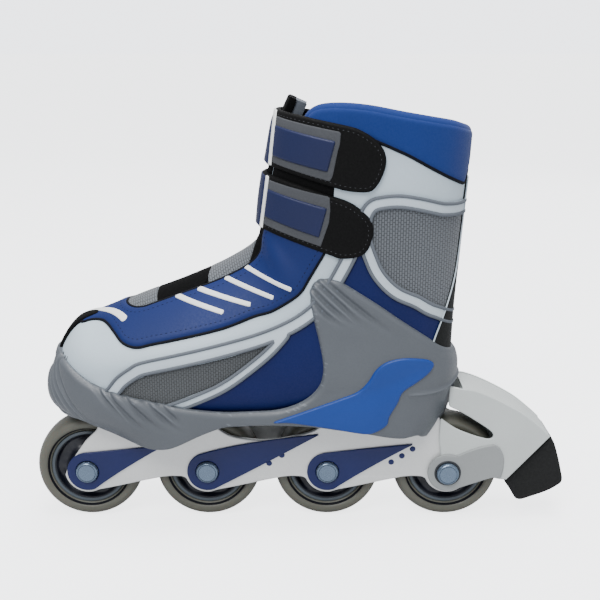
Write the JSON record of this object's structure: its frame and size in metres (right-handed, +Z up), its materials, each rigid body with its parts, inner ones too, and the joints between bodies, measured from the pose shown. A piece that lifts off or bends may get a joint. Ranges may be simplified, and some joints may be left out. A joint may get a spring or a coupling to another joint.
{
  "type": "inline skate",
  "caption": "Soft-boot inline skate with a moulded base shell, alloy frame, inline wheels on sealed bearings, two hook-and-loop straps and a heel brake.",
  "frame": {"origin": "on the ground under the middle of the skate", "axes": "+Z up, -X towards the toe, +Y towards the inner side of the foot; the wheels turn about Y"},
  "size_m": [0.3601, 0.093, 0.285],
  "materials": {
    "tyre": "satin olive grey urethane",
    "hub": "dark blue moulded plastic",
    "steel": "zinc plated",
    "frame": "satin silver",
    "inlay": "satin blue",
    "bracket": "light grey",
    "pad_rubber": "matt black",
    "shell": "fine-grained grey",
    "accent": "satin blue",
    "boot_leather": "pebbled synthetic leather with blue and mesh panels",
    "lining": "padded knit",
    "backstay": "satin black",
    "strap": "coated webbing"
  },
  "bodies": {
    "skate": {"accent_left": "accent", "accent_right": "accent", "axle_bolt_1": "steel", "axle_bolt_2": "steel", "axle_bolt_3": "steel", "axle_bolt_4": "steel", "axle_screw_1": "steel", "axle_screw_2": "steel", "axle_screw_3": "steel", "axle_screw_4": "steel", "backstay": "backstay", "base_shell": "shell", "boot_upper": "boot_leather", "brake_bracket": "bracket", "brake_pad": "pad_rubber", "frame": "frame", "frame_bolt_1": "steel", "frame_bolt_2": "steel", "inlay_1_left": "inlay", "inlay_1_right": "inlay", "inlay_2_left": "inlay", "inlay_2_right": "inlay", "inlay_3_left": "inlay", "inlay_3_right": "inlay", "inner_race_1_left": "steel", "inner_race_1_right": "steel", "inner_race_2_left": "steel", "inner_race_2_right": "steel", "inner_race_3_left": "steel", "inner_race_3_right": "steel", "inner_race_4_left": "steel", "inner_race_4_right": "steel", "insole": "lining", "lower_strap_band": "strap", "pad_screw": "steel", "spacer_1": "steel", "spacer_2": "steel", "spacer_3": "steel", "spacer_4": "steel", "tongue": "lining", "upper_strap_band": "strap"},
    "wheel_1": {"tyre_1": "tyre", "hub_1": "hub", "outer_race_1_left": "steel", "outer_race_1_right": "steel"},
    "wheel_2": {"tyre_2": "tyre", "hub_2": "hub", "outer_race_2_left": "steel", "outer_race_2_right": "steel"},
    "wheel_3": {"tyre_3": "tyre", "hub_3": "hub", "outer_race_3_left": "steel", "outer_race_3_right": "steel"},
    "wheel_4": {"tyre_4": "tyre", "hub_4": "hub", "outer_race_4_left": "steel", "outer_race_4_right": "steel"},
    "upper_flap": {"upper_strap_flap": "strap"},
    "lower_flap": {"lower_strap_flap": "strap"}
  },
  "joints": [
    {"name": "wheel_1_spin", "type": "hinge", "parent": "skate", "child": "wheel_1", "pos_m": [-0.1438, 0, 0.036], "axis": [0, 1, 0], "continuous": true},
    {"name": "wheel_2_spin", "type": "hinge", "parent": "skate", "child": "wheel_2", "pos_m": [-0.0628, 0, 0.036], "axis": [0, 1, 0], "continuous": true},
    {"name": "wheel_3_spin", "type": "hinge", "parent": "skate", "child": "wheel_3", "pos_m": [0.0182, 0, 0.036], "axis": [0, 1, 0], "continuous": true},
    {"name": "wheel_4_spin", "type": "hinge", "parent": "skate", "child": "wheel_4", "pos_m": [0.0992, 0, 0.036], "axis": [0, 1, 0], "continuous": true},
    {"name": "upper_strap_peel", "type": "hinge", "parent": "skate", "child": "upper_flap", "pos_m": [-0.0103, -0.026, 0.25735], "axis": [-0.1576, 0, -0.9875], "range_deg": [0, 110]},
    {"name": "lower_strap_peel", "type": "hinge", "parent": "skate", "child": "lower_flap", "pos_m": [-0.016, -0.026, 0.21812], "axis": [-0.1476, 0, -0.989], "range_deg": [0, 110]}
  ]
}
